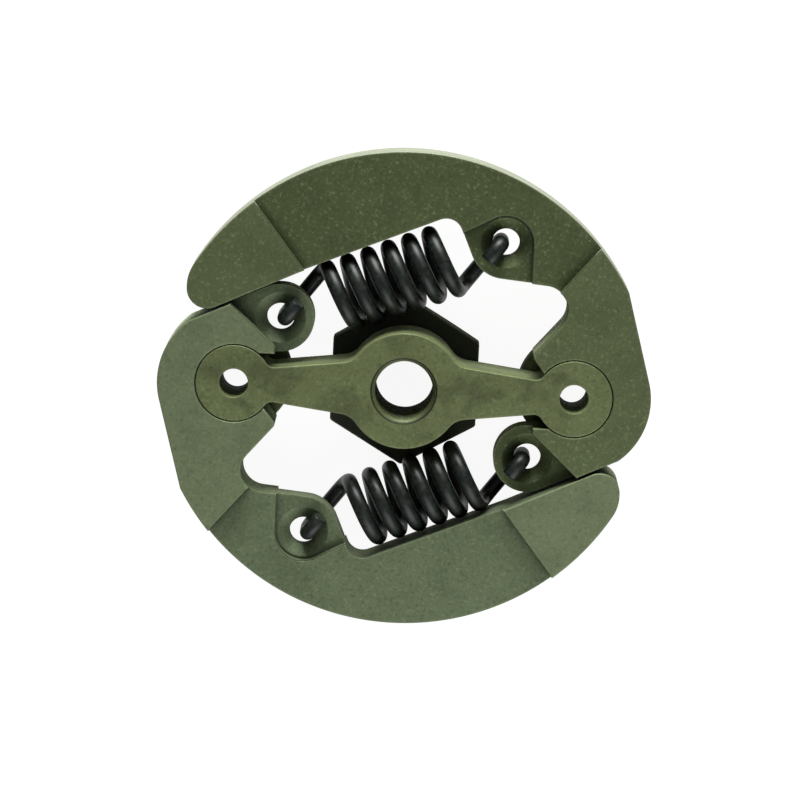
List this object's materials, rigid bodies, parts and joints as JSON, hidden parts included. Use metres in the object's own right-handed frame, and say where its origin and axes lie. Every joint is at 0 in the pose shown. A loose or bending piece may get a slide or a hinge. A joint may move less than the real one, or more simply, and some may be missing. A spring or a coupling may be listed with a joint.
{
  "type": "chainsaw clutch",
  "caption": "Centrifugal chainsaw clutch: curved sintered shoes pivot on the round lobes of a threaded hub with a rear hexagon and are held in by coil springs.",
  "frame": {"origin": "on the crankshaft axis at the back face of the hub's hexagon", "axes": "+Z along the bore and out of the pictured face, X along the two arms"},
  "size_m": [0.0568, 0.0548, 0.011],
  "materials": {
    "sintered_hub": "sintered steel, steam treated, olive grey, fine grain",
    "sintered_shoe": "sintered steel, steam treated, olive grey, fine grain",
    "spring_wire": "black oiled spring wire, satin"
  },
  "bodies": {
    "hub": {"hub_spider": "sintered_hub", "spring_upper": "spring_wire", "spring_lower": "spring_wire"},
    "left_shoe": {"shoe_a": "sintered_shoe"},
    "right_shoe": {"shoe_b": "sintered_shoe"}
  },
  "joints": [
    {"name": "left_shoe_pivot", "type": "hinge", "parent": "hub", "child": "left_shoe", "pos_m": [-0.01955, 0, 0.0073], "axis": [0, 0, -1], "range_deg": [0, 6], "stiffness_Nm_per_rad": 12, "springref_deg": -4.58, "deforming": ["spring_upper", "spring_lower"]},
    {"name": "right_shoe_pivot", "type": "hinge", "parent": "hub", "child": "right_shoe", "pos_m": [0.01955, 0, 0.0073], "axis": [0, 0, -1], "range_deg": [0, 6], "stiffness_Nm_per_rad": 12, "springref_deg": -4.58, "deforming": ["spring_upper", "spring_lower"]}
  ]
}
